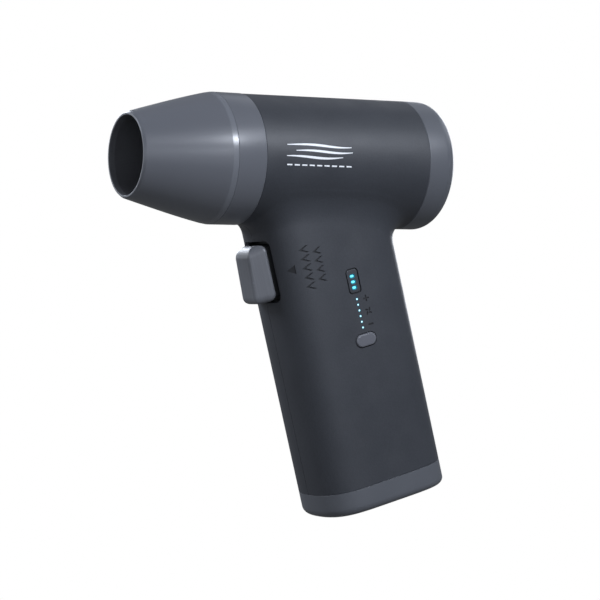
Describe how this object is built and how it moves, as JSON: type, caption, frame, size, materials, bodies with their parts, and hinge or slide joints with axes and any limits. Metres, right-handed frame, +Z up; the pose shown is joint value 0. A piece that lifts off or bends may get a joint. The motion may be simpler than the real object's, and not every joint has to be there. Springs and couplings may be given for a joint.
{
  "type": "cordless car dryer blower",
  "caption": "Pistol-grip cordless air blower: tilted barrel with tapered nozzle and rear intake, trigger, speed button, indicator column and a flat base to stand on.",
  "frame": {"origin": "centre of the flat underside of the grip's base cap, the face it stands on", "axes": "+Z up the axis of the grip; the nozzle points towards -X, 14.1 degrees above horizontal; the control panel faces -Y"},
  "size_m": [0.1419, 0.053, 0.1775],
  "materials": {
    "housing_plastic": "fine matte grain",
    "satin_grey": "satin",
    "trigger_grey": "satin",
    "button_grey": "matte",
    "black_plastic": "matte",
    "lens": "smoked",
    "light_guide": "frosted",
    "steel": "zinc plated",
    "shaft_steel": "ground",
    "die_cast": "bead blasted",
    "rotor_black": "satin",
    "rubber": "matte",
    "copper": "enamelled",
    "laminations": "matte",
    "magnet": "plated",
    "cell_wrap": "shrink wrap",
    "board": "solder mask",
    "chip": "moulded",
    "led": "clear",
    "foam": "foam",
    "nickel": "plated",
    "mesh": "woven",
    "wire_red": "insulation",
    "wire_black": "insulation"
  },
  "bodies": {
    "body": {"left_housing": "housing_plastic", "right_housing": "housing_plastic", "housing_screws": "steel", "front_collar": "satin_grey", "base_cap": "satin_grey", "base_screws": "steel", "motor_duct": "die_cast", "motor_end_cap": "die_cast", "tail_cone": "black_plastic", "inlet_ring": "black_plastic", "outlet_duct": "black_plastic", "front_damper": "rubber", "rear_damper": "rubber", "stator_core": "laminations", "stator_windings": "copper", "front_bearing": "shaft_steel", "rear_bearing": "shaft_steel", "motor_board": "board", "battery_cell_front": "cell_wrap", "battery_cell_rear": "cell_wrap", "battery_holder_bottom": "black_plastic", "battery_holder_top": "black_plastic", "nickel_tabs": "nickel", "battery_board": "board", "battery_foam": "foam", "smoothing_capacitor": "cell_wrap", "control_board": "board", "board_screws": "steel", "controller_chip": "chip", "mosfets": "chip", "tact_switch": "black_plastic", "indicator_leds": "led", "light_guide": "light_guide", "indicator_lens": "lens", "trigger_guide": "black_plastic", "trigger_switch": "black_plastic", "usb_board": "board", "usb_socket": "steel", "motor_leads": "wire_red", "battery_leads": "wire_red", "switch_leads": "wire_black", "usb_leads": "wire_black"},
    "nozzle_body": {"nozzle": "satin_grey", "nozzle_seal": "rubber"},
    "rear_cap_body": {"rear_cap": "satin_grey", "intake_grille": "black_plastic", "intake_filter": "mesh", "filter_clip": "black_plastic"},
    "trigger_body": {"trigger": "trigger_grey", "trigger_spring": "steel"},
    "button_body": {"speed_button": "button_grey"},
    "rotor": {"motor_shaft": "shaft_steel", "rotor_magnet": "magnet", "impeller": "rotor_black", "spinner": "rotor_black"}
  },
  "joints": [
    {"name": "trigger_slide", "type": "slide", "parent": "body", "child": "trigger_body", "axis": [1, 0, 0], "range_m": [0, 0.0035], "stiffness_N_per_m": 900, "springref_m": -0.004, "deforming": ["trigger_spring"]},
    {"name": "button_press", "type": "slide", "parent": "body", "child": "button_body", "axis": [0, 1, 0], "range_m": [0, 0.0007], "stiffness_N_per_m": 1500, "springref_m": -0.0005},
    {"name": "nozzle_pull", "type": "slide", "parent": "body", "child": "nozzle_body", "axis": [-0.9699, 0, 0.2436], "range_m": [0, 0.025]},
    {"name": "rear_cap_pull", "type": "slide", "parent": "body", "child": "rear_cap_body", "axis": [0.9699, 0, -0.2436], "range_m": [0, 0.02]},
    {"name": "rotor_spin", "type": "hinge", "parent": "body", "child": "rotor", "pos_m": [-0.0006, 0, 0.1417], "axis": [0.9699, 0, -0.2436], "continuous": true}
  ]
}
